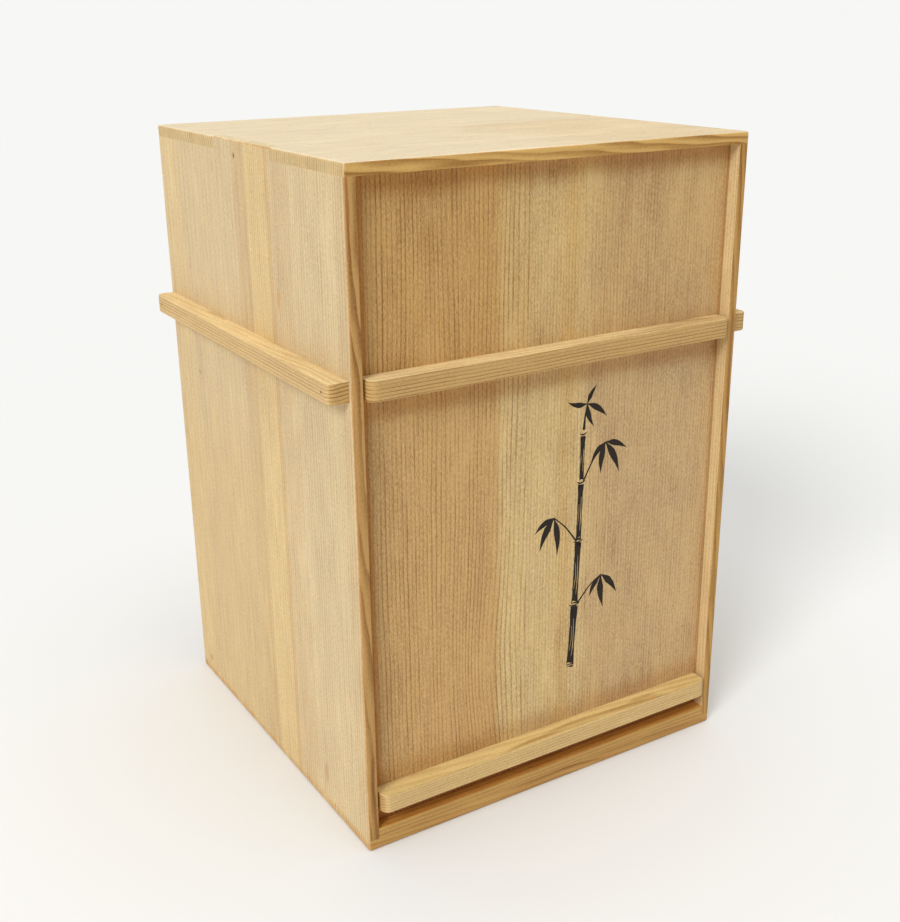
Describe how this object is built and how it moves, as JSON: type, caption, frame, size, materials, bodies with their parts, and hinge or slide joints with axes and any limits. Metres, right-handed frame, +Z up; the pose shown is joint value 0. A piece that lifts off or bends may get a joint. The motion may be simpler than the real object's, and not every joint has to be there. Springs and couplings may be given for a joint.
{
  "type": "utensil storage case",
  "caption": "Tall square wooden case with carrying cleats, inner shelves and a recessed front lid that lifts in its grooves to be taken out.",
  "frame": {"origin": "middle of the footprint, on the surface that the case stands on", "axes": "+Z up, the lid faces -Y, +X to the right of someone facing the lid"},
  "size_m": [0.436, 0.4065, 0.598],
  "materials": {
    "case_wood": "plain planed softwood, no varnish",
    "lid_wood": "plain planed softwood, straight vertical grain",
    "strip_wood": "plain planed softwood",
    "shelf_wood": "plain planed softwood",
    "peg_wood": "plain hardwood or bamboo, end grain showing"
  },
  "bodies": {
    "case": {"left_side_front_board": "case_wood", "left_side_rear_board": "case_wood", "right_side_front_board": "case_wood", "right_side_rear_board": "case_wood", "top_front_board": "case_wood", "top_rear_board": "case_wood", "bottom_front_board": "case_wood", "bottom_rear_board": "case_wood", "back_left_board": "case_wood", "back_right_board": "case_wood", "sill_strip": "case_wood", "left_cleat": "strip_wood", "right_cleat": "strip_wood", "lower_left_ledge": "strip_wood", "lower_right_ledge": "strip_wood", "upper_left_ledge": "strip_wood", "upper_right_ledge": "strip_wood", "lower_shelf_front_board": "shelf_wood", "lower_shelf_rear_board": "shelf_wood", "upper_shelf_front_board": "shelf_wood", "upper_shelf_rear_board": "shelf_wood", "cleat_pegs": "peg_wood", "back_pegs": "peg_wood", "ledge_pegs": "peg_wood", "shelf_pegs": "peg_wood"},
    "lid": {"lid_left_board": "lid_wood", "lid_right_board": "lid_wood", "lid_upper_batten": "strip_wood", "lid_lower_batten": "strip_wood", "batten_pegs": "peg_wood"}
  },
  "joints": [
    {"name": "lid_lift", "type": "slide", "parent": "case", "child": "lid", "axis": [0, 0, 1], "range_m": [0, 0.0042]}
  ]
}
